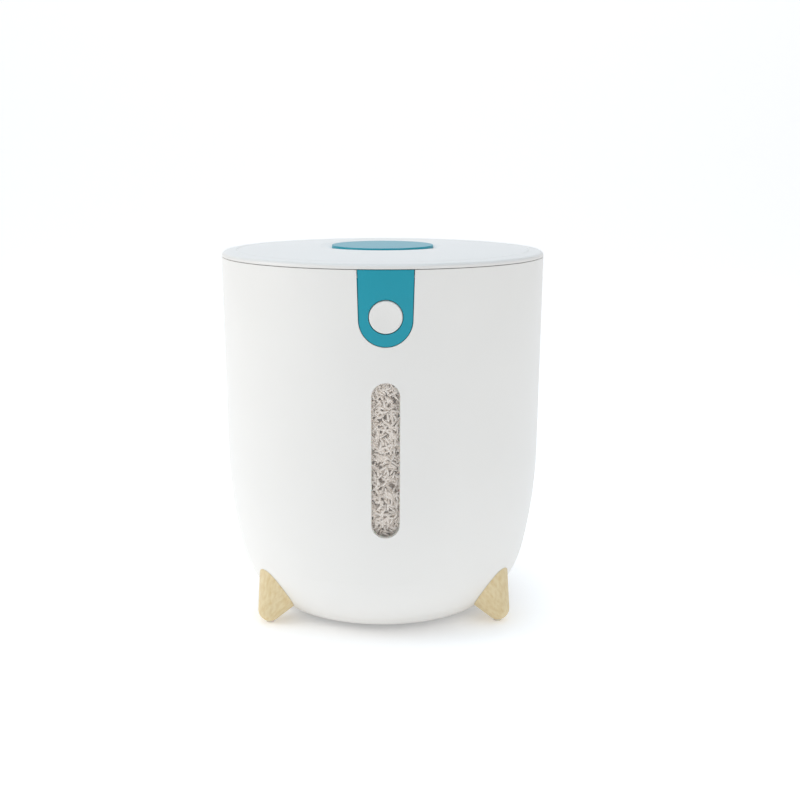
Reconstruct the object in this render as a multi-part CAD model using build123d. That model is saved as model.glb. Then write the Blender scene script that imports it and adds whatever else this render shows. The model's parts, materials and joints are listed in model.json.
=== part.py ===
from build123d import *
import math
import os

# Rice bin: a round white bucket on three round wooden feet, with a tall level window, a hinged lid that a
# push button releases, and a twist-out drying cap in the middle of the lid.
# Millimetres and degrees, +Z up, front towards -Y. The origin is on the floor, under the bucket's axis.

# Bucket
rim_radius = 127.5
rim_z = 282.0
base_z = 3.7
wall = 2.6
wall_lean_angle = 0.86
flank_radius = 373.0
flank_turn = 12.5
heel_radius = 72.0
heel_turn = 37.8
toe_radius = 20.0

# Clearances: seat where a fixed piece meets its seat, reveal where the gap shows as a fine line on the
# front, slip round a loose or moving piece, grip round a screw or stem that bites, and over for a cut
# that reaches past what it cuts
seat = 0.15
reveal = 0.6
slip = 0.35
grip = 0.05
over = 1.0

# Mouth collar inside the rim
mouth_inset = 27.0
deck_drop = 4.0
deck_thickness = 2.2
lip_thickness = 1.8
lip_depth = 16.0
ledge_width = 3.2

# Lid
seam_gap = 0.5
lid_rise = 7.4
lid_side = 0.5
lid_wall = 2.2
edge_round = 3.0
edge_slope = 4.6
groove_inset = 11.8
groove_width = 1.4
groove_depth = 0.5
dome_rise = 0.3
finger_room = 10.1
dish_depth = 1.8

# Drying cap and basket
cap_radius = 40.4
cap_proud = 2.4
cap_wall = 2.2
cap_flange = 1.5
cap_edge_round = 0.6
cap_seal_thickness = 0.9
cap_rim = 2.2
cap_skirt_wall = 2.2
well_wall = 2.0
well_depth = 12.8
lug_count = 3
lug_reach = 2.0
lug_height = 2.0
lug_span = 16.0
lug_turn = 45.0
lug_gate_turn = 2.0
basket_wall = 1.4
basket_drop = 3.0
basket_insert = 8.0
basket_slot_count = 12
basket_slot_width = 2.4
basket_slot_share = 0.55
basket_hub_share = 0.22

# Lid liner and gasket
liner_lift = 1.0
liner_wall = 1.6
liner_inset = 9.0
plug_depth = 10.0
gasket_reach = 3.0
gasket_height = 4.6
gasket_sink = 0.6
gasket_lip = 1.2
lid_screw_inset = 17.5
lid_screw_count = 4
lid_screw_turn = 45.0
lid_boss_radius = 4.0

# Latch
plate_height = 54.3
plate_top_width = 39.8
plate_end_width = 37.9
plate_proud = 0.4
flange_margin = 3.0
flange_thickness = 1.6
button_drop = 33.2
button_radius = 11.8
button_travel = 2.5
button_dish = 0.5
button_rim = 1.4
keeper_margin = 2.5
keeper_thickness = 1.6
stem_radius = 3.2
stem_length = 4.6
catch_thickness = 2.0
catch_half_width = 8.0
catch_frame_height = 4.0
catch_bar = 3.2
catch_drop = 16.0
catch_foot = 3.0
hook_half_width = 9.0
hook_thickness = 2.0
hook_nose = 1.6
hook_nose_height = 3.6
hook_head_thickness = 1.5
hook_head_margin = 3.0
hook_gap = 1.0
hook_side_gap = 1.5
hook_slot_front = 2.5
hook_slot_back = 1.2
spring_radius = 4.3
spring_wire = 0.9
spring_turns = 6
housing_wall = 1.8
housing_margin = 6.2
latch_screw_x = 13.0
latch_screw_drop = 13.6
latch_screw_bite = 7.0
latch_boss_radius = 3.0

# Hinge
hinge_back = 0.3
hinge_drop = 1.8
knuckle_radius = 2.9
lid_knuckle_half = 14.4
bucket_knuckle_width = 11.2
knuckle_side_gap = 0.4
gusset_depth = 16.0
pin_radius = 1.4
pin_running = 0.06
pin_grip = 0.02
web_lap = 2.0

# Window
window_drop = 81.0
window_height = 114.5
window_width = 19.5
pane_recess = 0.35
pane_flange = 4.0
pane_flange_thickness = 1.8
window_seal_thickness = 0.8

# Feet: turned cones with a round tip, leaning outwards under the heel of the bucket
foot_turn = 54.4
foot_inset = 17.8
foot_tip_round = 9.2
foot_lean_angle = 34.7
foot_cone_angle = 26.0
foot_length = 60.0
pad_radius = 3.2
pad_height = 1.6
pad_sink = 0.8
foot_screw_angle = 40.0
foot_screw_spread = 8.0
foot_screw_bite = 12.0

# Screws
screw_radius = 1.5
screw_head_radius = 3.0
screw_head_height = 1.8
screw_recess = 0.9
screw_recess_width = 0.9
screw_recess_share = 0.6

# Levels and lines that several pieces share
lid_z = rim_z + seam_gap
lid_top_z = rim_z + lid_rise
lid_side_z = lid_z + lid_side
deck_top = rim_z - deck_drop
deck_bottom = deck_top - deck_thickness
flange_bottom = deck_top + liner_lift
flange_top = flange_bottom + liner_wall
plug_bottom = flange_bottom - plug_depth
hinge_y = rim_radius + hinge_back
hinge_z = rim_z - hinge_drop
mouth_radius = rim_radius - mouth_inset
plug_radius = mouth_radius - gasket_reach
lid_screw_ring = plug_radius - lid_screw_inset
cap_z = lid_top_z - dish_depth
cap_top = cap_z + cap_proud
cap_under = cap_z - cap_flange
ledge_z = cap_under - cap_seal_thickness
dish_radius = cap_radius + finger_room
cap_skirt_radius = cap_radius - cap_rim
well_radius = cap_skirt_radius + slip
well_bottom = cap_z - well_depth
skirt_bottom = well_bottom - slip - lug_height
button_z = rim_z - button_drop
latch_arc_z = rim_z - plate_height + plate_end_width / 2

# Shape of the bucket's skin: the flat base, three arcs that meet smoothly, then the straight wall.
# Heights are worked out from the base upwards and radii from the rim downwards.
lean = math.radians(wall_lean_angle)
flank_end = lean + math.radians(flank_turn)
heel_end = flank_end + math.radians(heel_turn)
toe_centre_z = base_z + toe_radius
heel_centre_z = toe_centre_z + (heel_radius - toe_radius) * math.sin(heel_end)
flank_centre_z = heel_centre_z + (flank_radius - heel_radius) * math.sin(flank_end)
wall_foot_z = flank_centre_z - flank_radius * math.sin(lean)
wall_foot_radius = rim_radius - (rim_z - wall_foot_z) * math.tan(lean)
flank_centre = (wall_foot_radius - flank_radius * math.cos(lean), flank_centre_z)
heel_centre = (flank_centre[0] + (flank_radius - heel_radius) * math.cos(flank_end), heel_centre_z)
toe_centre = (heel_centre[0] + (heel_radius - toe_radius) * math.cos(heel_end), toe_centre_z)

foot_turns = {
    "foot_front_right": foot_turn - 90,
    "foot_rear": 90,
    "foot_front_left": 270 - foot_turn,
}
foot_tip_radius = rim_radius - foot_inset
foot_tip_z = pad_height - pad_sink + foot_tip_round


def on_arc(centre, radius, angle, inset):
    """Point of a skin arc, moved inwards by inset, at an angle below the horizontal."""
    reach = radius - inset
    return (centre[0] + reach * math.cos(angle), centre[1] - reach * math.sin(angle))


def wall_radius(z, inset=0.0):
    """Radius of the straight wall at height z, moved inwards by inset."""
    return wall_foot_radius + (z - wall_foot_z) * math.tan(lean) - inset / math.cos(lean)


def turned(edges):
    """Solid of revolution about Z from edges drawn as (radius, z)."""
    return revolve(make_face(edges), Axis.Z)


def line(start, end):
    return Line((start[0], 0, start[1]), (end[0], 0, end[1]))


def arc(start, middle, end):
    return ThreePointArc((start[0], 0, start[1]), (middle[0], 0, middle[1]), (end[0], 0, end[1]))


def skin_arc(centre, radius, start, end, inset):
    ends = [on_arc(centre, radius, angle, inset) for angle in (start, (start + end) / 2, end)]
    return arc(*ends)


def turned_polygon(points):
    closed = points + points[:1]
    return turned([line(a, b) for a, b in zip(closed, closed[1:])])


def filled_body(inset, top):
    """The bucket's whole volume with its skin moved inwards by inset, up to the height top."""
    floor_z = base_z + inset
    top_point = (wall_radius(top, inset), top)
    wall_end = on_arc(flank_centre, flank_radius, lean, inset)
    return turned([
        line((0, floor_z), (toe_centre[0], floor_z)),
        skin_arc(toe_centre, toe_radius, math.pi / 2, heel_end, inset),
        skin_arc(heel_centre, heel_radius, heel_end, flank_end, inset),
        skin_arc(flank_centre, flank_radius, flank_end, lean, inset),
        line(wall_end, top_point),
        line(top_point, (0, top)),
        line((0, top), (0, floor_z)),
    ])


def skin_layer(outer_inset, inner_inset, top):
    return filled_body(outer_inset, top) - filled_body(inner_inset, top)


def drum(radius, low, high):
    return Pos(0, 0, (low + high) / 2) * Cylinder(radius, high - low)


def ring(inner, outer, low, high):
    return drum(outer, low, high) - drum(inner, low, high)


def block(x, y, z):
    """Box from its (low, high) pairs."""
    middle = Pos((x[0] + x[1]) / 2, (y[0] + y[1]) / 2, (z[0] + z[1]) / 2)
    return middle * Box(x[1] - x[0], y[1] - y[0], z[1] - z[0])


def rod_x(radius, x0, x1, y, z):
    return Pos((x0 + x1) / 2, y, z) * Rot(0, 90, 0) * Cylinder(radius, x1 - x0)


def rod_y(radius, y0, y1, x, z):
    return Pos(x, (y0 + y1) / 2, z) * Rot(90, 0, 0) * Cylinder(radius, y1 - y0)


def through_front(sketch, near, far):
    """Prism of an X-Z sketch between y = -far and y = -near, on the front side."""
    return extrude(Plane.XZ.offset(near) * sketch, far - near)


def screw(bite):
    """Pan-head screw: head below z = 0, shank up to bite, with a cross recess."""
    body = drum(screw_head_radius, -screw_head_height, 0) + drum(screw_radius, 0, bite)
    body = fillet(body.edges().group_by(Axis.Z)[0], screw_head_height / 2)
    recess_half = screw_head_radius * screw_recess_share
    for turn in (0, 90):
        slot = block(
            (-recess_half, recess_half),
            (-screw_recess_width / 2, screw_recess_width / 2),
            (-screw_head_height, screw_recess - screw_head_height),
        )
        body -= Rot(0, 0, turn) * slot
    return body


def window_outline(margin):
    outline = SlotOverall(window_height + 2 * margin, window_width + 2 * margin, rotation=90)
    return Pos(0, rim_z - window_drop - window_height / 2) * outline


def latch_outline(margin, top):
    """Tapered tongue shape of the latch plate, with a round lower end, grown by margin."""
    flare = (plate_top_width - plate_end_width) / 2 / (rim_z - latch_arc_z)
    half_end = plate_end_width / 2 + margin
    half_top = half_end + flare * (top - latch_arc_z)
    return make_face([
        Line((-half_top, top), (-half_end, latch_arc_z)),
        ThreePointArc((-half_end, latch_arc_z), (0, latch_arc_z - half_end), (half_end, latch_arc_z)),
        Line((half_end, latch_arc_z), (half_top, top)),
        Line((half_top, top), (-half_top, top)),
    ])


# Depths of the latch, measured inwards along Y at the front
front_y = -(wall_radius(button_z) + plate_proud)
flange_back_inset = wall + seat + flange_thickness
keeper_reach = button_radius + keeper_margin
flange_back_y = -math.sqrt((wall_radius(button_z) - flange_back_inset) ** 2 - keeper_reach ** 2)
keeper_y = flange_back_y + slip
catch_y = keeper_y + keeper_thickness
catch_back_y = catch_y + catch_thickness
hook_y = catch_back_y + button_travel + hook_gap
hook_back_y = hook_y + hook_thickness
catch_bar_y = hook_back_y + hook_nose + slip
housing_back_y = catch_bar_y + catch_bar + button_travel + slip
catch_top_z = rim_z - catch_drop
catch_bottom_z = catch_top_z - catch_frame_height
hook_nose_z = catch_bottom_z - slip
housing_half = plate_top_width / 2 + housing_margin
housing_bottom = rim_z - plate_height - flange_margin - slip - housing_wall
latch_screw_z = button_z - latch_screw_drop

# Places of the foot screws: on the heel of the skin, along its normal
foot_screw_lean = math.radians(foot_screw_angle)
foot_screw_dir = (math.cos(foot_screw_lean), 0, -math.sin(foot_screw_lean))
foot_screw_radius = on_arc(heel_centre, heel_radius, foot_screw_lean, 0)[0]
foot_screw_turn = math.degrees(foot_screw_spread / 2 / foot_screw_radius)


def foot_screw_places(inset):
    """Frames of one foot's two screws, on the skin moved inwards by inset, pointing outwards."""
    radius, z = on_arc(heel_centre, heel_radius, foot_screw_lean, inset)
    place = Plane(origin=(radius, 0, z), z_dir=foot_screw_dir).location
    return [Rot(0, 0, side * foot_screw_turn) * place for side in (-1, 1)]


def make_bucket_shell():
    shell = skin_layer(0, wall, rim_z)
    # Inner ledge that carries the collar; it stops short of the latch housing.
    ledge_outer = wall_radius(deck_bottom, wall / 2)
    ledge_inner = wall_radius(deck_bottom, wall + ledge_width)
    ledge_low = deck_bottom - ledge_width - wall
    ledge = turned_polygon([
        (ledge_outer, deck_bottom),
        (ledge_inner, deck_bottom),
        (ledge_outer, ledge_low),
    ])
    ledge_cut = housing_half + seat
    ledge -= block((-ledge_cut, ledge_cut), (-2 * rim_radius, -rim_radius / 2), (ledge_low - over, rim_z))
    shell += ledge
    notch_half = lid_knuckle_half + knuckle_side_gap
    gusset = make_face(Polyline(
        (rim_radius / 2, rim_z - gusset_depth),
        (wall_radius(rim_z - gusset_depth), rim_z - gusset_depth),
        (hinge_y + knuckle_radius, hinge_z),
        (rim_radius / 2, hinge_z),
        close=True,
    ))
    for x in (notch_half, -notch_half - bucket_knuckle_width):
        stay = Pos(x, 0, 0) * extrude(Plane.YZ * gusset, bucket_knuckle_width)
        shell += stay - filled_body(wall / 2, lid_top_z)
        shell += rod_x(knuckle_radius, x, x + bucket_knuckle_width, hinge_y, hinge_z)
    # Gap in the rim for the lid's knuckle and its web
    shell -= rod_x(knuckle_radius + slip, -notch_half, notch_half, hinge_y, hinge_z)
    shell -= block((-notch_half, notch_half), (rim_radius / 2, 2 * rim_radius), (hinge_z, lid_top_z))
    pin_reach = notch_half + bucket_knuckle_width
    shell -= rod_x(pin_radius + pin_grip, -pin_reach, pin_reach, hinge_y, hinge_z)
    shell -= through_front(window_outline(reveal), rim_radius / 2, rim_radius * 2)
    shell -= through_front(latch_outline(reveal, lid_top_z), rim_radius / 2, rim_radius * 2)
    for turn in foot_turns.values():
        for place in foot_screw_places(wall):
            hole = Cylinder(screw_radius + slip, 4 * wall)
            shell -= Rot(0, 0, turn) * (place * hole)
    return shell


def make_mouth_collar():
    outer = wall_radius(deck_bottom, wall) - seat
    collar = ring(mouth_radius, outer, deck_bottom, deck_top)
    collar += ring(mouth_radius, mouth_radius + lip_thickness, deck_top - lip_depth, deck_top)
    cut = housing_half + seat
    bay = block((-cut, cut), (-rim_radius, housing_back_y + housing_wall + seat), (deck_bottom - over, rim_z))
    collar -= bay - drum(mouth_radius + lip_thickness, deck_bottom - over, rim_z)
    return collar


def make_window_pane():
    pane = skin_layer(pane_recess, wall, rim_z) & through_front(window_outline(0), rim_radius / 2, rim_radius * 2)
    seal_back = wall + window_seal_thickness
    flange = skin_layer(seal_back, seal_back + pane_flange_thickness, rim_z)
    flange &= through_front(window_outline(pane_flange), rim_radius / 2, rim_radius * 2)
    bridge = skin_layer(wall / 2, seal_back + pane_flange_thickness / 2, rim_z)
    bridge &= through_front(window_outline(0), rim_radius / 2, rim_radius * 2)
    return pane + bridge + flange


def make_window_seal():
    seal = skin_layer(wall + seat / 2, wall + window_seal_thickness - seat / 2, rim_z)
    outline = window_outline(pane_flange) - window_outline(seat)
    return seal & through_front(outline, rim_radius / 2, rim_radius * 2)


def make_foot(turn):
    """Round cone with a ball end, cut to sit on the bucket's heel."""
    half = math.radians(foot_cone_angle)
    ball = foot_tip_round
    end_radius = ball / math.cos(half) + foot_length * math.tan(half)
    low = (0, -ball)
    side = (ball * math.cos(half), -ball * math.sin(half))
    mid_turn = (math.pi / 2 - half) / 2
    middle = (ball * math.sin(mid_turn), -ball * math.cos(mid_turn))
    cone = turned([
        arc(low, middle, side),
        line(side, (end_radius, foot_length)),
        line((end_radius, foot_length), (0, foot_length)),
        line((0, foot_length), low),
    ])
    lean_in = math.radians(foot_lean_angle)
    axis = (-math.sin(lean_in), 0, math.cos(lean_in))
    stand = Plane(origin=(foot_tip_radius, 0, foot_tip_z), z_dir=axis).location
    foot = stand * cone - filled_body(-seat, rim_z)
    foot -= Pos(foot_tip_radius, 0, 0) * drum(pad_radius + seat, 0, pad_height)
    for place in foot_screw_places(0):
        foot -= place * drum(screw_radius + grip, -wall, foot_screw_bite + seat)
    return Rot(0, 0, turn) * foot


def make_foot_pads():
    pad = Pos(foot_tip_radius, 0, 0) * drum(pad_radius, 0, pad_height - seat)
    return [Rot(0, 0, turn) * pad for turn in foot_turns.values()]


def make_foot_screws():
    bite = wall + seat + foot_screw_bite
    return [
        Rot(0, 0, turn) * (place * screw(bite))
        for turn in foot_turns.values()
        for place in foot_screw_places(wall + seat)
    ]


def make_latch_plate():
    plate = skin_layer(-plate_proud, wall + seat, lid_top_z)
    plate &= through_front(latch_outline(0, rim_z), rim_radius / 2, rim_radius * 2)
    flange = skin_layer(wall + seat, flange_back_inset, lid_top_z)
    flange_top_z = deck_top - housing_wall - slip
    flange &= through_front(latch_outline(flange_margin, flange_top_z), rim_radius / 2, rim_radius * 2)
    plate += flange
    boss_end = housing_back_y - seat
    for x in (-latch_screw_x, latch_screw_x):
        boss = rod_y(latch_boss_radius, -rim_radius, boss_end, x, latch_screw_z)
        boss &= filled_body(wall + seat, lid_top_z)
        plate += boss
        plate -= rod_y(screw_radius + grip, keeper_y, boss_end + over, x, latch_screw_z)
    plate -= rod_y(button_radius + reveal, -2 * rim_radius, -rim_radius / 2, 0, button_z)
    return plate


def make_latch_button():
    """Turned about the button's axis, drawn with its face up, then laid to face the front."""
    cap_depth = keeper_y - front_y
    keeper_end = cap_depth + keeper_thickness
    stem_end = keeper_end + stem_length
    face_flat = button_radius - button_rim
    button = turned([
        arc((0, -button_dish), (face_flat / 2, -button_dish * (1 - 0.5 ** 2)), (face_flat, 0)),
        line((face_flat, 0), (button_radius - button_rim / 2, 0)),
        line((button_radius - button_rim / 2, 0), (button_radius, -button_rim / 2)),
        line((button_radius, -button_rim / 2), (button_radius, -cap_depth)),
        line((button_radius, -cap_depth), (keeper_reach, -cap_depth)),
        line((keeper_reach, -cap_depth), (keeper_reach, -keeper_end)),
        line((keeper_reach, -keeper_end), (stem_radius, -keeper_end)),
        line((stem_radius, -keeper_end), (stem_radius, -stem_end)),
        line((stem_radius, -stem_end), (0, -stem_end)),
        line((0, -stem_end), (0, -button_dish)),
    ])
    return Pos(0, front_y, button_z) * Rot(90, 0, 0) * button


def make_latch_catch():
    frame_half = hook_half_width + hook_side_gap + catch_thickness
    catch = block(
        (-catch_half_width, catch_half_width),
        (catch_y, catch_back_y),
        (button_z - stem_radius - catch_foot, catch_top_z),
    )
    frame = block(
        (-frame_half, frame_half), (catch_y, catch_bar_y + catch_bar), (catch_bottom_z, catch_top_z)
    )
    window_half = frame_half - catch_thickness
    frame -= block((-window_half, window_half), (catch_back_y, catch_bar_y), (catch_bottom_z, catch_top_z))
    catch += frame
    return catch - rod_y(stem_radius + grip, catch_y, catch_back_y, 0, button_z)


def make_latch_housing():
    top = deck_top
    shell = block(
        (-housing_half, housing_half),
        (-rim_radius, housing_back_y + housing_wall),
        (housing_bottom, top),
    )
    inner = housing_half - housing_wall
    shell -= block(
        (-inner, inner),
        (-rim_radius, housing_back_y),
        (housing_bottom + housing_wall, top - housing_wall),
    )
    slot_half = hook_half_width + hook_side_gap
    shell -= block(
        (-slot_half, slot_half),
        (hook_y - hook_slot_front, hook_back_y + hook_nose + hook_slot_back),
        (top - 2 * housing_wall, top),
    )
    back_end = housing_back_y + housing_wall + over
    for x in (-latch_screw_x, latch_screw_x):
        shell -= rod_y(screw_radius + slip, housing_back_y - over, back_end, x, latch_screw_z)
    return shell & filled_body(wall + seat, rim_z)


def make_latch_screws():
    seat_y = housing_back_y + housing_wall
    bite = housing_wall + latch_screw_bite
    return [
        Plane(origin=(x, seat_y + seat, latch_screw_z), z_dir=(0, -1, 0)) * screw(bite)
        for x in (-latch_screw_x, latch_screw_x)
    ]


def biarc(start, start_way, end, end_way):
    """Two arcs that leave start along start_way and reach end along end_way."""
    span = end - start
    ways = start_way + end_way
    spread = 2 * (1 - start_way.dot(end_way))
    along = span.dot(ways)
    reach = (math.sqrt(along ** 2 + spread * span.dot(span)) - along) / spread
    first = start + start_way * reach
    second = end - end_way * reach
    middle = (first + second) * 0.5
    way = (second - first).normalized()
    return [Edge.make_tangent_arc(start, start_way, middle), Edge.make_tangent_arc(middle, way, end)]


def make_latch_spring():
    """Compression spring on the button's axis, wound on quarter turns of two arcs each."""
    room_front = catch_back_y + seat + spring_wire / 2
    room_back = housing_back_y - seat - spring_wire / 2
    pitch = (room_back - room_front) / spring_turns
    quarters = 4 * spring_turns

    def point(turn):
        angle = 2 * math.pi * turn
        x = spring_radius * math.cos(angle)
        z = button_z + spring_radius * math.sin(angle)
        return Vector(x, room_front + pitch * turn, z)

    def way(turn):
        angle = 2 * math.pi * turn
        turn_rate = 2 * math.pi * spring_radius
        return Vector(-turn_rate * math.sin(angle), pitch, turn_rate * math.cos(angle)).normalized()

    edges = []
    for quarter in range(quarters):
        a = quarter / 4
        b = (quarter + 1) / 4
        edges += biarc(point(a), way(a), point(b), way(b))
    section = Plane(origin=point(0), z_dir=way(0)) * Circle(spring_wire / 2)
    steps = 48
    samples = [point(step / steps) for step in range(steps * spring_turns + 1)]
    gap = min(
        (samples[i] - samples[j]).length
        for i in range(len(samples))
        for j in range(i + steps // 2, len(samples))
    )
    print("latch spring: least gap between turns", round(gap - spring_wire, 3), "mm")
    return sweep(section, path=Wire(edges))


# Outline of the lid's upper side, from its edge inwards
slope = math.radians(edge_slope)
corner_centre = (rim_radius - edge_round, lid_side_z)
corner_end = (
    corner_centre[0] + edge_round * math.sin(slope),
    corner_centre[1] + edge_round * math.cos(slope),
)
corner_middle = (
    corner_centre[0] + edge_round * math.cos(math.pi / 4),
    corner_centre[1] + edge_round * math.sin(math.pi / 4),
)
groove_radius = rim_radius - groove_inset
groove_z = corner_end[1] + (corner_end[0] - groove_radius) * math.tan(slope)
cap_seat_radius = cap_radius + slip
well_outer = well_radius + well_wall


def make_lid_cover():
    groove_out = (groove_radius + groove_width / 2, groove_z)
    groove_in = (groove_radius - groove_width / 2, groove_z)
    dish_edge = (dish_radius, lid_top_z)
    dome_middle = (
        (groove_in[0] + dish_radius) / 2,
        (groove_z + lid_top_z) / 2 + dome_rise,
    )
    under_dish = (dish_radius + lid_wall, lid_top_z - lid_wall - groove_depth)
    under_groove = (groove_radius, groove_z - groove_depth - lid_wall)
    cover = turned([
        line((rim_radius, lid_z), (rim_radius, lid_side_z)),
        arc((rim_radius, lid_side_z), corner_middle, corner_end),
        line(corner_end, groove_out),
        line(groove_out, (groove_radius, groove_z - groove_depth)),
        line((groove_radius, groove_z - groove_depth), groove_in),
        arc(groove_in, dome_middle, dish_edge),
        line(dish_edge, (cap_seat_radius, cap_z)),
        line((cap_seat_radius, cap_z), (cap_seat_radius, ledge_z)),
        line((cap_seat_radius, ledge_z), (well_radius, ledge_z)),
        line((well_radius, ledge_z), (well_radius, well_bottom)),
        line((well_radius, well_bottom), (well_outer, well_bottom)),
        line((well_outer, well_bottom), (well_outer, ledge_z - lid_wall)),
        line((well_outer, ledge_z - lid_wall), under_dish),
        line(under_dish, under_groove),
        line(under_groove, (groove_radius, lid_z)),
        line((groove_radius, lid_z), (rim_radius, lid_z)),
    ])
    # Ways for the cap's lugs down through the well
    gate = math.radians(lug_span / 2 + lug_gate_turn)
    for step in range(lug_count):
        way = block(
            (cap_skirt_radius - over, cap_skirt_radius + lug_reach + 2 * slip),
            (-well_outer * math.sin(gate), well_outer * math.sin(gate)),
            (well_bottom - over, cap_under),
        )
        cover -= Rot(0, 0, lug_turn + step * 360 / lug_count) * way
    crown_fall = (lid_top_z - groove_z) / (groove_radius - dish_radius)
    boss_top = lid_top_z - (lid_screw_ring + lid_boss_radius - dish_radius) * crown_fall - lid_wall / 2
    for step in range(lid_screw_count):
        boss = Pos(lid_screw_ring, 0, 0) * (
            drum(lid_boss_radius, plug_bottom + liner_wall + seat, boss_top)
            - drum(screw_radius + grip, plug_bottom, plug_bottom + plug_depth)
        )
        cover += Rot(0, 0, lid_screw_turn + step * 360 / lid_screw_count) * boss
    # Gap in the lid's edge for the bucket's knuckles, and the lid's own knuckle on a web
    notch_half = lid_knuckle_half + knuckle_side_gap + bucket_knuckle_width + slip
    notch_y = hinge_y - knuckle_radius - 2 * slip
    cover -= block((-notch_half, notch_half), (notch_y, 2 * rim_radius), (lid_z - over, lid_top_z))
    cover += block(
        (-lid_knuckle_half, lid_knuckle_half),
        (notch_y - web_lap, hinge_y),
        (hinge_z, lid_side_z + edge_round / 2),
    )
    cover += rod_x(knuckle_radius, -lid_knuckle_half, lid_knuckle_half, hinge_y, hinge_z)
    bore = lid_knuckle_half + over
    return cover - rod_x(pin_radius + pin_running, -bore, bore, hinge_y, hinge_z)


gasket_low = plug_bottom + (plug_depth - gasket_height) / 2


def make_lid_liner():
    edge = rim_radius - liner_inset
    liner = turned_polygon([
        (well_radius, plug_bottom),
        (plug_radius, plug_bottom),
        (plug_radius, flange_bottom),
        (edge, flange_bottom),
        (edge, lid_z - seat),
        (edge - liner_wall, lid_z - seat),
        (edge - liner_wall, flange_top),
        (plug_radius - liner_wall, flange_top),
        (plug_radius - liner_wall, plug_bottom + liner_wall),
        (well_radius, plug_bottom + liner_wall),
    ])
    liner -= ring(plug_radius - gasket_sink, plug_radius + over, gasket_low, gasket_low + gasket_height)
    slot = hook_half_width + seat
    liner -= block((-slot, slot), (hook_y - seat, hook_back_y + seat), (flange_bottom - over, flange_top + over))
    for step in range(lid_screw_count):
        hole = drum(screw_radius + slip, plug_bottom - over, plug_bottom + 2 * liner_wall)
        liner -= Rot(0, 0, lid_screw_turn + step * 360 / lid_screw_count) * Pos(lid_screw_ring, 0, 0) * hole
    return liner


def make_lid_gasket():
    """Silicone ring with two lips that reach for the collar's mouth."""
    back = plug_radius - gasket_sink + seat
    base = plug_radius + gasket_lip
    tip = mouth_radius - slip
    low = gasket_low + seat
    high = gasket_low + gasket_height - seat
    middle = (low + high) / 2
    return turned_polygon([
        (back, low),
        (base, low),
        (tip, low + gasket_lip / 2),
        (tip, low + gasket_lip),
        (base, middle),
        (tip, high - gasket_lip),
        (tip, high - gasket_lip / 2),
        (base, high),
        (back, high),
    ])


def make_lid_hook():
    """Tongue that hangs from the liner through the collar, with a nose that faces the bin."""
    head_half = hook_half_width + hook_head_margin
    tongue_bottom = hook_nose_z - hook_nose_height
    hook = block(
        (-hook_half_width, hook_half_width), (hook_y, hook_back_y), (tongue_bottom, flange_top + hook_head_thickness)
    )
    hook += block(
        (-head_half, head_half),
        (hook_y - hook_head_margin / 3, hook_back_y + hook_head_margin),
        (flange_top, flange_top + hook_head_thickness),
    )
    nose = make_face(Polyline(
        (hook_back_y, hook_nose_z),
        (hook_back_y + hook_nose, hook_nose_z),
        (hook_back_y, tongue_bottom),
        close=True,
    ))
    return hook + extrude(Plane.YZ * nose, hook_half_width, both=True)


def make_lid_screws():
    bite = plug_depth
    return [
        Rot(0, 0, lid_screw_turn + step * 360 / lid_screw_count)
        * (Pos(lid_screw_ring, 0, plug_bottom - seat) * screw(bite))
        for step in range(lid_screw_count)
    ]


def make_drying_cap():
    """Round cap with a skirt and three lugs, proud of the dish, which gives fingers room to turn it."""
    inner = cap_skirt_radius - cap_skirt_wall
    edge_centre = (cap_radius - cap_edge_round, cap_top - cap_edge_round)
    edge_reach = cap_edge_round * math.sin(math.pi / 4)
    edge_middle = (edge_centre[0] + edge_reach, edge_centre[1] + edge_reach)
    cap = turned([
        line((0, cap_top), (edge_centre[0], cap_top)),
        arc((edge_centre[0], cap_top), edge_middle, (cap_radius, edge_centre[1])),
        line((cap_radius, edge_centre[1]), (cap_radius, cap_under)),
        line((cap_radius, cap_under), (cap_skirt_radius, cap_under)),
        line((cap_skirt_radius, cap_under), (cap_skirt_radius, skirt_bottom)),
        line((cap_skirt_radius, skirt_bottom), (inner, skirt_bottom)),
        line((inner, skirt_bottom), (inner, cap_top - cap_wall)),
        line((inner, cap_top - cap_wall), (0, cap_top - cap_wall)),
        line((0, cap_top - cap_wall), (0, cap_top)),
    ])
    lug_half = math.radians(lug_span / 2)
    lug_reach_radius = cap_skirt_radius + lug_reach
    for step in range(lug_count):
        lug = ring(cap_skirt_radius - cap_skirt_wall / 2, lug_reach_radius, skirt_bottom, skirt_bottom + lug_height)
        lug &= block(
            (0, 2 * cap_radius),
            (-lug_reach_radius * math.sin(lug_half), lug_reach_radius * math.sin(lug_half)),
            (skirt_bottom, skirt_bottom + lug_height),
        )
        cap += Rot(0, 0, step * 360 / lug_count) * lug
    return cap


def make_cap_seal():
    low = ledge_z + seat / 2
    return ring(cap_skirt_radius + grip, cap_radius - seat, low, low + cap_seal_thickness - seat)


def make_drying_basket():
    """Slotted cup that plugs into the cap's skirt and hangs below the liner."""
    insert_radius = cap_skirt_radius - cap_skirt_wall - grip
    step_z = skirt_bottom - seat
    floor_z = plug_bottom - basket_drop
    basket = turned_polygon([
        (0, floor_z),
        (cap_skirt_radius, floor_z),
        (cap_skirt_radius, step_z),
        (insert_radius, step_z),
        (insert_radius, step_z + basket_insert),
        (insert_radius - basket_wall, step_z + basket_insert),
        (insert_radius - basket_wall, floor_z + basket_wall),
        (0, floor_z + basket_wall),
    ])
    slot_length = cap_skirt_radius * basket_slot_share
    hub = cap_skirt_radius * basket_hub_share
    slot = Pos(hub + slot_length / 2, 0) * SlotOverall(slot_length, basket_slot_width)
    vent = extrude(Pos(0, 0, floor_z - over) * slot, basket_wall + 2 * over)
    for step in range(basket_slot_count):
        basket -= Rot(0, 0, step * 360 / basket_slot_count) * vent
    return basket


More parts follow.
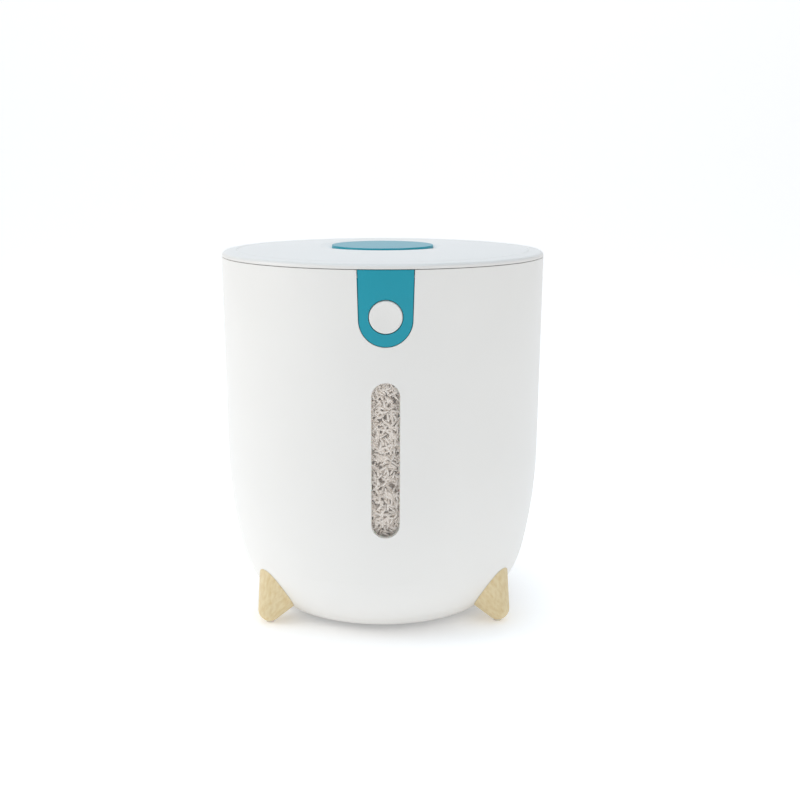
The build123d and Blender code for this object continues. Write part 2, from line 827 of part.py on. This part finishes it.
def make_hinge_pin():
    reach = lid_knuckle_half + knuckle_side_gap + bucket_knuckle_width
    pin = rod_x(pin_radius, -reach, reach, hinge_y, hinge_z)
    ends = pin.edges().filter_by(GeomType.CIRCLE)
    return fillet(ends, pin_radius / 4)


pieces = {
    "bucket_shell": make_bucket_shell,
    "mouth_collar": make_mouth_collar,
    "window_pane": make_window_pane,
    "window_seal": make_window_seal,
    "foot_pads": make_foot_pads,
    "foot_screws": make_foot_screws,
    "latch_plate": make_latch_plate,
    "latch_button": make_latch_button,
    "latch_catch": make_latch_catch,
    "latch_housing": make_latch_housing,
    "latch_screws": make_latch_screws,
    "latch_spring": make_latch_spring,
    "lid_cover": make_lid_cover,
    "lid_liner": make_lid_liner,
    "lid_gasket": make_lid_gasket,
    "lid_hook": make_lid_hook,
    "lid_screws": make_lid_screws,
    "drying_cap": make_drying_cap,
    "cap_seal": make_cap_seal,
    "drying_basket": make_drying_basket,
    "hinge_pin": make_hinge_pin,
}

os.makedirs("parts", exist_ok=True)
for name, make in pieces.items():
    made = make()
    solid = Compound(children=made) if isinstance(made, list) else made
    export_step(solid, f"parts/{name}.step")
for name, turn in foot_turns.items():
    export_step(make_foot(turn), f"parts/{name}.step")
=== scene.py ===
import json
import math
import random

import bpy
from mathutils import Euler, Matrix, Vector
from mathutils.bvhtree import BVHTree


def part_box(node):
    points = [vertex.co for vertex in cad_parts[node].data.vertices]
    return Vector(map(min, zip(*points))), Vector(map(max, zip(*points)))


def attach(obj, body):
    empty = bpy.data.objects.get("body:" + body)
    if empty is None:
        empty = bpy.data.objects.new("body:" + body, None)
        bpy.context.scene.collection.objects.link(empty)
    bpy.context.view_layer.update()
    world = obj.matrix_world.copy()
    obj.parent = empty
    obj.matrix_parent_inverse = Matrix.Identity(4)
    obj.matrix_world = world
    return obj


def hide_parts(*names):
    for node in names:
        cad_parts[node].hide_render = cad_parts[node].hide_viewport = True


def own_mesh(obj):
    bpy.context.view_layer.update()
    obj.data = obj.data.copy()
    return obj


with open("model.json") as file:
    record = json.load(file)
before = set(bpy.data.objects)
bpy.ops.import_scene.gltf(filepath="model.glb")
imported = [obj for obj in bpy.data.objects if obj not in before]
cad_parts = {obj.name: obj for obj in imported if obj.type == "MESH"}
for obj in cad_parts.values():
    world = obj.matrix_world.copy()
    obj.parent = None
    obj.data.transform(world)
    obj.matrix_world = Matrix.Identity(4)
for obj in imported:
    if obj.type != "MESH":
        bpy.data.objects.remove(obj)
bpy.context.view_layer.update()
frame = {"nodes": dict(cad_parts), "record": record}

MM = 0.001
nodes = frame["nodes"]


# Colour and node helpers

def linear(hex_code):
    """Linear RGBA from an sRGB hex code such as 2894A1."""
    channels = [int(hex_code[i:i + 2], 16) / 255 for i in (0, 2, 4)]
    return tuple(c / 12.92 if c <= 0.04045 else ((c + 0.055) / 1.055) ** 2.4 for c in channels) + (1.0,)


def add(tree, kind, inputs=None, **settings):
    """Adds a node with its settings; an input is a value or a socket to link from."""
    node = tree.nodes.new(kind)
    for name, value in settings.items():
        setattr(node, name, value)
    for key, value in (inputs or {}).items():
        if isinstance(value, bpy.types.NodeSocket):
            tree.links.new(value, node.inputs[key])
        else:
            node.inputs[key].default_value = value
    return node


def new_material(name, constants):
    """A node material whose shader has these constant inputs, and the place of each point in metres."""
    material = bpy.data.materials.new(name)
    material.use_nodes = True
    tree = material.node_tree
    tree.nodes.clear()
    shader = add(tree, "ShaderNodeBsdfPrincipled", constants)
    add(tree, "ShaderNodeOutputMaterial", {"Surface": shader.outputs["BSDF"]})
    place = add(tree, "ShaderNodeTexCoord").outputs["Object"]
    return material, tree, shader, place


def per_mm(size):
    """Texture scale, per metre, of a pattern whose features are size millimetres across."""
    return 1.0 / (size * MM)


# Materials

def moulded_plastic(name, colour, deep, roughness, grain_mm):
    """Injection-moulded plastic: an even colour that drifts a little, under the fine spark-eroded
    grain of the mould, which breaks up the gloss. The grain is drawn coarser than the real 0.1 mm,
    so that it still shows at the picture's scale."""
    drift_mm = 70
    grain_depth_mm = 0.02
    gloss_spread = 0.04
    material, tree, shader, place = new_material(name, {"IOR": 1.49})
    drift = add(tree, "ShaderNodeTexNoise", {"Vector": place, "Scale": per_mm(drift_mm), "Detail": 2.0})
    tint = add(tree, "ShaderNodeMix", {
        "Factor": drift.outputs["Fac"], "A": linear(colour), "B": linear(deep),
    }, data_type="RGBA")
    grain = add(tree, "ShaderNodeTexNoise", {"Vector": place, "Scale": per_mm(grain_mm), "Detail": 3.0})
    gloss = add(tree, "ShaderNodeMapRange", {
        "Value": grain.outputs["Fac"],
        "To Min": roughness - gloss_spread,
        "To Max": roughness + gloss_spread,
    })
    bump = add(tree, "ShaderNodeBump", {
        "Height": grain.outputs["Fac"], "Strength": 0.25, "Distance": grain_depth_mm * MM,
    })
    tree.links.new(tint.outputs["Result"], shader.inputs["Base Color"])
    tree.links.new(gloss.outputs["Result"], shader.inputs["Roughness"])
    tree.links.new(bump.outputs["Normal"], shader.inputs["Normal"])
    return material


def clear_styrene():
    """Clear moulded styrene, a little hazed by rice dust: shows the grains behind it under a faint
    pale veil."""
    flow_mm = 18
    flow_depth_mm = 0.05
    material, tree, shader, place = new_material("clear_styrene", {
        "Base Color": linear("FBF3EC"), "Roughness": 0.08, "IOR": 1.59, "Alpha": 0.07,
    })
    flow = add(tree, "ShaderNodeTexNoise", {"Vector": place, "Scale": per_mm(flow_mm), "Detail": 1.0})
    bump = add(tree, "ShaderNodeBump", {
        "Height": flow.outputs["Fac"], "Strength": 0.05, "Distance": flow_depth_mm * MM,
    })
    tree.links.new(bump.outputs["Normal"], shader.inputs["Normal"])
    return material


def sanded_pine(name, peg_turn):
    """Pale softwood, turned, sanded and clear-coated: long straight streaks of darker late wood that
    run along the leaning peg, short fine pores, and a low sheen."""
    streak_mm = 2.4
    streak_stretch = (1.0, 1.0, 0.05)
    late_wood_end = 0.3
    early_wood_start = 0.62
    pore_mm = 0.55
    pore_stretch = (1.0, 1.0, 0.06)
    pore_depth_mm = 0.12
    material, tree, shader, place = new_material(name, {"IOR": 1.5})
    across = add(tree, "ShaderNodeVectorRotate", {
        "Vector": place, "Angle": -peg_turn,
    }, rotation_type="Z_AXIS")
    upright = add(tree, "ShaderNodeVectorRotate", {
        "Vector": across.outputs["Vector"], "Angle": peg_lean,
    }, rotation_type="Y_AXIS")
    streak_run = add(tree, "ShaderNodeMapping", {
        "Vector": upright.outputs["Vector"], "Scale": streak_stretch,
    })
    streak = add(tree, "ShaderNodeTexNoise", {
        "Vector": streak_run.outputs["Vector"],
        "Scale": per_mm(streak_mm),
        "Detail": 3.0,
        "Distortion": 0.15,
    })
    bands = add(tree, "ShaderNodeValToRGB", {"Fac": streak.outputs["Fac"]})
    bands.color_ramp.elements[0].position = late_wood_end
    bands.color_ramp.elements[0].color = linear("DFC795")
    bands.color_ramp.elements[1].position = early_wood_start
    bands.color_ramp.elements[1].color = linear("EAD8AF")
    pore_run = add(tree, "ShaderNodeMapping", {
        "Vector": upright.outputs["Vector"], "Scale": pore_stretch,
    })
    pores = add(tree, "ShaderNodeTexNoise", {
        "Vector": pore_run.outputs["Vector"], "Scale": per_mm(pore_mm), "Detail": 2.0,
    })
    gloss = add(tree, "ShaderNodeMapRange", {"Value": pores.outputs["Fac"], "To Min": 0.42, "To Max": 0.62})
    bump = add(tree, "ShaderNodeBump", {
        "Height": pores.outputs["Fac"], "Strength": 0.35, "Distance": pore_depth_mm * MM,
    })
    tree.links.new(bands.outputs["Color"], shader.inputs["Base Color"])
    tree.links.new(gloss.outputs["Result"], shader.inputs["Roughness"])
    tree.links.new(bump.outputs["Normal"], shader.inputs["Normal"])
    return material


def moulded_silicone():
    """Soft pale silicone: matt, a little see-through at thin edges."""
    dust_mm = 3
    material, tree, shader, place = new_material("moulded_silicone", {
        "Base Color": linear("E6E1D6"), "IOR": 1.41,
        "Subsurface Weight": 0.2, "Subsurface Scale": 1.0 * MM,
    })
    dust = add(tree, "ShaderNodeTexNoise", {"Vector": place, "Scale": per_mm(dust_mm), "Detail": 3.0})
    gloss = add(tree, "ShaderNodeMapRange", {"Value": dust.outputs["Fac"], "To Min": 0.5, "To Max": 0.7})
    tree.links.new(gloss.outputs["Result"], shader.inputs["Roughness"])
    return material


def zinc_plated_steel():
    """Bright zinc plate on steel: a cool metal with a fine cloudy gloss."""
    cloud_mm = 1.5
    material, tree, shader, place = new_material("zinc_plated_steel", {
        "Base Color": linear("C3C6CA"), "Metallic": 1.0,
    })
    cloud = add(tree, "ShaderNodeTexNoise", {"Vector": place, "Scale": per_mm(cloud_mm), "Detail": 4.0})
    gloss = add(tree, "ShaderNodeMapRange", {"Value": cloud.outputs["Fac"], "To Min": 0.22, "To Max": 0.4})
    tree.links.new(gloss.outputs["Result"], shader.inputs["Roughness"])
    return material


def polished_rice():
    """Milled long-grain rice: waxy pale grains with chalky patches, each a little different in tone."""
    chalk_mm = 2.2
    material, tree, shader, place = new_material("polished_rice", {"Roughness": 0.38, "IOR": 1.5})
    each = add(tree, "ShaderNodeNewGeometry").outputs["Random Per Island"]
    tone = add(tree, "ShaderNodeValToRGB", {"Fac": each})
    tone.color_ramp.elements[0].color = linear("EFE1D3")
    tone.color_ramp.elements[1].color = linear("FDF4EA")
    chalk = add(tree, "ShaderNodeTexNoise", {"Vector": place, "Scale": per_mm(chalk_mm), "Detail": 2.0})
    patches = add(tree, "ShaderNodeMix", {
        "Factor": chalk.outputs["Fac"], "A": tone.outputs["Color"], "B": linear("FDF7F0"),
    }, data_type="RGBA")
    tree.links.new(patches.outputs["Result"], shader.inputs["Base Color"])
    return material


def heaped_rice():
    """The mass of rice under the top grains: the same pale cream, with painted shade where grains leave gaps.
    """
    grain_spacing_mm = 3.0
    gap_depth_mm = 1.0
    material, tree, shader, place = new_material("heaped_rice", {"Roughness": 0.6})
    gaps = add(tree, "ShaderNodeTexVoronoi", {"Vector": place, "Scale": per_mm(grain_spacing_mm)})
    # Painted shade: the tone darkens from each cell's middle to its edge, where the gaps between grains are
    tone = add(tree, "ShaderNodeValToRGB", {"Fac": gaps.outputs["Distance"]})
    tone.color_ramp.elements[0].color = linear("F3E8DE")
    tone.color_ramp.elements[1].color = linear("CFC0B2")
    bump = add(tree, "ShaderNodeBump", {
        "Height": gaps.outputs["Distance"], "Strength": 0.8, "Distance": gap_depth_mm * MM,
    })
    tree.links.new(tone.outputs["Color"], shader.inputs["Base Color"])
    tree.links.new(bump.outputs["Normal"], shader.inputs["Normal"])
    return material


def pale_floor():
    """White paper sweep that glows a little, but less round the bucket: plain white, with a painted soft
    shadow under the bucket.
    """
    painted_shadow_radius = 60 * MM
    open_radius = 150 * MM
    painted_shadow_glow = 0.1
    open_glow = 0.4
    # A touch over white in blue, which no hex code gives
    cool_white = (0.98, 1.0, 1.04, 1.0)
    material, tree, shader, place = new_material("pale_floor", {
        "Base Color": linear("F4F4F3"), "Roughness": 0.9, "Specular IOR Level": 0.1,
        "Emission Color": cool_white,
    })
    flat = add(tree, "ShaderNodeVectorMath", {0: place, 1: (1.0, 1.0, 0.0)}, operation="MULTIPLY")
    reach = add(tree, "ShaderNodeVectorMath", {0: flat.outputs["Vector"]}, operation="LENGTH")
    # Painted shadow: the glow falls from the open glow to the lower glow towards the bucket, so the floor is
    # darker round it
    glow = add(tree, "ShaderNodeMapRange", {
        "Value": reach.outputs["Value"],
        "From Min": painted_shadow_radius,
        "From Max": open_radius,
        "To Min": painted_shadow_glow,
        "To Max": open_glow,
    })
    tree.links.new(glow.outputs["Result"], shader.inputs["Emission Strength"])
    # Seen from below, the sheet is clear, so that the underside of the bin can be looked at
    underneath = add(tree, "ShaderNodeNewGeometry").outputs["Backfacing"]
    clear = add(tree, "ShaderNodeBsdfTransparent")
    sheet = add(tree, "ShaderNodeMixShader", {
        0: underneath, 1: shader.outputs["BSDF"], 2: clear.outputs["BSDF"],
    })
    tree.links.new(sheet.outputs["Shader"], tree.nodes["Material Output"].inputs["Surface"])
    return material


# Finishes of the CAD's pieces

finishes = {
    "white_plastic": moulded_plastic("white_polypropylene", "F3F1ED", "EFEDE9", roughness=0.36, grain_mm=1.1),
    "teal_plastic": moulded_plastic("teal_abs", "009DB1", "0098AC", roughness=0.34, grain_mm=0.9),
    "grey_plastic": moulded_plastic("grey_acetal", "B4B6B8", "ACAEB0", roughness=0.45, grain_mm=1.0),
    "clear_plastic": clear_styrene(),
    "silicone": moulded_silicone(),
    "steel": zinc_plated_steel(),
}

# The pegs lean out from the axis; each one has wood of its own, so that its grain follows its lean
peg_lean = math.radians(34.7)


def peg_wood(node):
    """Wood for one peg, turned the way the peg points out from the axis."""
    low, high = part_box(node)
    turn = math.atan2((low[1] + high[1]) / 2, (low[0] + high[0]) / 2)
    return sanded_pine("sanded_pine_" + node, turn)


for part in frame["record"]["subparts"]:
    node = part["node"]
    mesh = nodes[node].data
    mesh.materials.clear()
    if part["material_slot"] == "pale_wood":
        mesh.materials.append(peg_wood(node))
    else:
        mesh.materials.append(finishes[part["material_slot"]])


def new_piece(name, verts, faces, material):
    """A smooth mesh piece that moves with the bucket."""
    mesh = bpy.data.meshes.new(name)
    mesh.from_pydata(verts, [], faces)
    mesh.polygons.foreach_set("use_smooth", [True] * len(mesh.polygons))
    mesh.materials.append(material)
    mesh.update()
    piece = bpy.data.objects.new(name, mesh)
    bpy.context.scene.collection.objects.link(piece)
    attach(piece, "bucket")
    return piece


# Rice in the bin, up to a little over the window

rice_seed = 7
rice_floor = 9 * MM
rice_top = 210 * MM
mound_rise = 4 * MM
shoulder_drop = 3 * MM
wall_room = 0.5 * MM
window_room = 10 * MM

# Each grain differs a little in length and in width
grain_length = 7.2 * MM
grain_width = 2.2 * MM
length_spread = (0.82, 1.1)
width_spread = (0.88, 1.1)

# One long grain along X: rings that swell to the middle, a little flat and a little bent
grain_sides = 6
grain_stations = (-0.78, -0.28, 0.28, 0.78)
grain_fullness = 2.6
grain_flatness = 0.85
grain_bend = 0.12

# Grains pressed against the window; most_roll is in radians
window_grains = 900
window_layers = 3
layer_step = 1.3 * MM
pane_gap = 0.2 * MM
sill_height = 2 * MM
most_tilt = math.radians(16)
most_roll = 0.6

# Grains strewn over the heap; most_dip is in radians
heap_grains = 3100
heap_rise = 1.0 * MM
most_dip = 0.25

random.seed(rice_seed)


def surface_tree(*node_names):
    """A search tree over the faces of some of the CAD's pieces."""
    verts = []
    faces = []
    for name in node_names:
        mesh = nodes[name].data
        first = len(verts)
        verts.extend(vert.co.copy() for vert in mesh.vertices)
        faces.extend([first + i for i in face.vertices] for face in mesh.polygons)
    return BVHTree.FromPolygons(verts, faces)


bin_walls = surface_tree("bucket_shell")
window_backs = surface_tree("bucket_shell", "window_pane", "window_seal")


def wall_radius(height):
    """Inside radius of the bucket at a height, met by a ray to the right, clear of window and latch."""
    point = bin_walls.ray_cast(Vector((0, 0, height)), Vector((1, 0, 0)))[0]
    return point.x


def rice_fill():
    """The mass of the rice: held back behind the window's grains, and spread to the wall at the top."""
    rings = 16
    sides = 72
    mound_steps = 8
    shoulder = rice_top - shoulder_drop
    profile = []
    for step in range(rings + 1):
        height = rice_floor + (shoulder - rice_floor) * step / rings
        profile.append((wall_radius(height) - window_room, height))
    edge = wall_radius(rice_top) - wall_room
    profile.append((edge, rice_top))
    for step in range(1, mound_steps):
        share = step / mound_steps
        profile.append((edge * (1 - share), rice_top + mound_rise * math.sin(math.pi / 2 * share)))
    verts = []
    for radius, height in profile:
        for side in range(sides):
            turn = 2 * math.pi * side / sides
            verts.append((radius * math.cos(turn), radius * math.sin(turn), height))
    faces = []
    for ring in range(len(profile) - 1):
        low = ring * sides
        high = low + sides
        for side in range(sides):
            after = (side + 1) % sides
            faces.append((low + side, low + after, high + after, high + side))
    bottom = len(verts)
    verts.append((0, 0, rice_floor))
    peak = len(verts)
    verts.append((0, 0, rice_top + mound_rise))
    last = (len(profile) - 1) * sides
    for side in range(sides):
        after = (side + 1) % sides
        faces.append((bottom, after, side))
        faces.append((peak, last + side, last + after))
    new_piece("rice_fill", verts, faces, heaped_rice())


def grain_points(length, width):
    """Points of one grain: its rings from end to end, then its two tips."""
    points = []
    for station in grain_stations:
        girth = width / 2 * (1 - abs(station) ** grain_fullness) ** 0.5
        bend = grain_bend * width * station * station
        for side in range(grain_sides):
            turn = 2 * math.pi * side / grain_sides
            points.append(Vector((
                station * length / 2,
                girth * math.cos(turn),
                grain_flatness * girth * math.sin(turn) - bend,
            )))
    tip_bend = grain_bend * width
    points.append(Vector((-length / 2, 0, -tip_bend)))
    points.append(Vector((length / 2, 0, -tip_bend)))
    return points


def grain_faces():
    """Faces of one grain, in the order of its points."""
    faces = []
    for ring in range(len(grain_stations) - 1):
        low = ring * grain_sides
        high = low + grain_sides
        for side in range(grain_sides):
            after = (side + 1) % grain_sides
            faces.append((low + side, high + side, high + after, low + after))
    last = (len(grain_stations) - 1) * grain_sides
    front_tip = last + grain_sides
    back_tip = front_tip + 1
    for side in range(grain_sides):
        after = (side + 1) % grain_sides
        faces.append((front_tip, side, after))
        faces.append((back_tip, last + after, last + side))
    return faces


grain_template = grain_faces()


def place_grain(verts, faces, middle, turn):
    """Adds one grain of its own size, turned and moved to its place."""
    length = grain_length * random.uniform(*length_spread)
    width = grain_width * random.uniform(*width_spread)
    first = len(verts)
    for point in grain_points(length, width):
        verts.append(turn @ point + middle)
    faces.extend(tuple(first + i for i in face) for face in grain_template)


def press_to_window(verts, faces):
    """Grains that lie flat against the back of the window, in layers."""
    low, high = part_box("window_pane")
    for count in range(window_grains):
        x = random.uniform(low[0], high[0])
        z = random.uniform(low[2] + sill_height, high[2])
        wall = window_backs.ray_cast(Vector((x, 0, z)), Vector((0, -1, 0)))[0]
        layer = count % window_layers
        tilt = random.uniform(-most_tilt, most_tilt)
        lean = grain_length / 2 * abs(math.sin(tilt)) + grain_width / 2
        middle = Vector((x, wall.y + lean + pane_gap + layer * layer_step, z))
        flat = random.uniform(0, math.pi)
        roll = random.uniform(-most_roll, most_roll)
        wall_turn = math.atan2(x, -wall.y)
        turn = (
            Euler((0, 0, wall_turn)).to_matrix() @ Euler((0, flat, 0)).to_matrix()
            @ Euler((roll, 0, tilt)).to_matrix()
        )
        place_grain(verts, faces, middle, turn)


def strew_over_heap(verts, faces):
    """Grains that lie any way round on top of the heap."""
    reach = wall_radius(rice_top) - wall_room - grain_length / 2
    for _ in range(heap_grains):
        radius = reach * math.sqrt(random.random())
        around = random.uniform(0, 2 * math.pi)
        rise = mound_rise * math.cos(math.pi / 2 * radius / reach)
        middle = Vector((
            radius * math.cos(around),
            radius * math.sin(around),
            rice_top + rise + random.uniform(0, heap_rise),
        ))
        turn = Euler((
            random.uniform(-most_roll, most_roll),
            random.uniform(-most_dip, most_dip),
            random.uniform(0, 2 * math.pi),
        )).to_matrix()
        place_grain(verts, faces, middle, turn)


def rice_grains():
    """All the single grains, as one piece."""
    verts = []
    faces = []
    press_to_window(verts, faces)
    strew_over_heap(verts, faces)
    new_piece("rice_grains", verts, faces, polished_rice())


rice_fill()
rice_grains()


# The button's spring as a wound wire

spring_turns = 6
wire_radius = 0.45 * MM
wire_sides = 10
steps_per_turn = 24


def button_spring():
    """A helix of wire along Y, in the room of the CAD's spring."""
    low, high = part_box("latch_spring")
    axis_z = (low[2] + high[2]) / 2
    coil_radius = (high[0] - low[0]) / 2 - wire_radius
    front = low[1] + wire_radius
    back = high[1] - wire_radius
    steps = spring_turns * steps_per_turn
    verts = []
    for step in range(steps + 1):
        turn = 2 * math.pi * step / steps_per_turn
        out = Vector((math.cos(turn), 0, math.sin(turn)))
        centre = Vector((0, front + (back - front) * step / steps, axis_z)) + coil_radius * out
        for side in range(wire_sides):
            around = 2 * math.pi * side / wire_sides
            offset = wire_radius * (math.cos(around) * out + math.sin(around) * Vector((0, 1, 0)))
            verts.append(centre + offset)
    faces = []
    for step in range(steps):
        near = step * wire_sides
        far = near + wire_sides
        for side in range(wire_sides):
            after = (side + 1) % wire_sides
            faces.append((near + side, near + after, far + after, far + side))
    faces.append(tuple(reversed(range(wire_sides))))
    faces.append(tuple(steps * wire_sides + side for side in range(wire_sides)))
    spring = new_piece("button_spring", verts, faces, finishes["steel"])
    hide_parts("latch_spring")
    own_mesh(spring)


button_spring()


# Floor and backdrop in one sheet

def make_floor():
    """A sheet that runs level under the object and bends up behind it; sizes in metres."""
    half_width = 2.4
    front = -2.4
    bend_start = 2.2
    bend_radius = 1.2
    height = 4.0
    bend_steps = 24
    profile = [(front, 0.0), (bend_start, 0.0)]
    for step in range(1, bend_steps + 1):
        angle = math.pi / 2 * step / bend_steps
        profile.append((bend_start + bend_radius * math.sin(angle), bend_radius * (1 - math.cos(angle))))
    profile.append((bend_start + bend_radius, height))
    verts = [(side * half_width, y, z) for y, z in profile for side in (-1, 1)]
    faces = [(2 * i, 2 * i + 1, 2 * i + 3, 2 * i + 2) for i in range(len(profile) - 1)]
    mesh = bpy.data.meshes.new("floor")
    mesh.from_pydata(verts, [], faces)
    mesh.polygons.foreach_set("use_smooth", [True] * len(mesh.polygons))
    mesh.materials.append(pale_floor())
    floor = bpy.data.objects.new("floor", mesh)
    bpy.context.scene.collection.objects.link(floor)


make_floor()


# Light: a broad soft key from the left, a weaker fill from the right and a wide light from above

light_aim = Vector((0.0, 0.0, 0.16))


def area_light(name, place, size, power, colour):
    """A soft rectangular light that points at the middle of the object."""
    light = bpy.data.lights.new(name, "AREA")
    light.shape = "RECTANGLE"
    light.size, light.size_y = size
    light.energy = power
    light.color = linear(colour)[:3]
    lamp = bpy.data.objects.new(name, light)
    lamp.location = place
    lamp.rotation_euler = (light_aim - Vector(place)).to_track_quat("-Z", "Y").to_euler()
    bpy.context.scene.collection.objects.link(lamp)


area_light("key", place=(-1.8, -0.2, 1.1), size=(0.9, 1.2), power=10.5, colour="FFFCF8")
area_light("fill", place=(1.3, -1.3, 1.0), size=(1.0, 1.0), power=2.5, colour="FFF6EC")
area_light("top", place=(0.0, -0.1, 2.0), size=(1.6, 1.6), power=10.5, colour="BCE0FF")

# The studio's far side shows as white past the floor's edge, and lights the object with room_light
room_light = 0.5
shown_white = 1.0
world = bpy.data.worlds.new("studio")
world.use_nodes = True
background = world.node_tree.nodes["Background"]
background.inputs["Color"].default_value = linear("FFFFFF")
direct_look = add(world.node_tree, "ShaderNodeLightPath").outputs["Is Camera Ray"]
room_glow = add(world.node_tree, "ShaderNodeMapRange", {
    "Value": direct_look, "To Min": room_light, "To Max": shown_white,
})
world.node_tree.links.new(room_glow.outputs["Result"], background.inputs["Strength"])
bpy.context.scene.world = world
bpy.context.scene.view_settings.view_transform = "Standard"


# Camera: the photo's viewpoint, a little to the left of the front and above the rim

photo_side = 800.0
focal_px = 1213.8
sensor_mm = 36.0
view_distance = 969.7 * MM
view_height = 365.3 * MM
view_turn = math.radians(1.0)
view_pitch = math.radians(9.412)
axis_column = 382.6
middle_row = 350.0

lens = bpy.data.cameras.new("photo_camera")
lens.sensor_width = sensor_mm
lens.lens = focal_px * sensor_mm / photo_side
lens.shift_x = (photo_side / 2 - axis_column) / photo_side
lens.shift_y = (middle_row - photo_side / 2) / photo_side
lens.clip_start = 0.01
camera = bpy.data.objects.new("photo_camera", lens)
camera.location = (
    -view_distance * math.sin(view_turn), -view_distance * math.cos(view_turn), view_height,
)
camera.rotation_euler = (math.pi / 2 - view_pitch, 0.0, -view_turn)
bpy.context.scene.collection.objects.link(camera)
bpy.context.scene.camera = camera
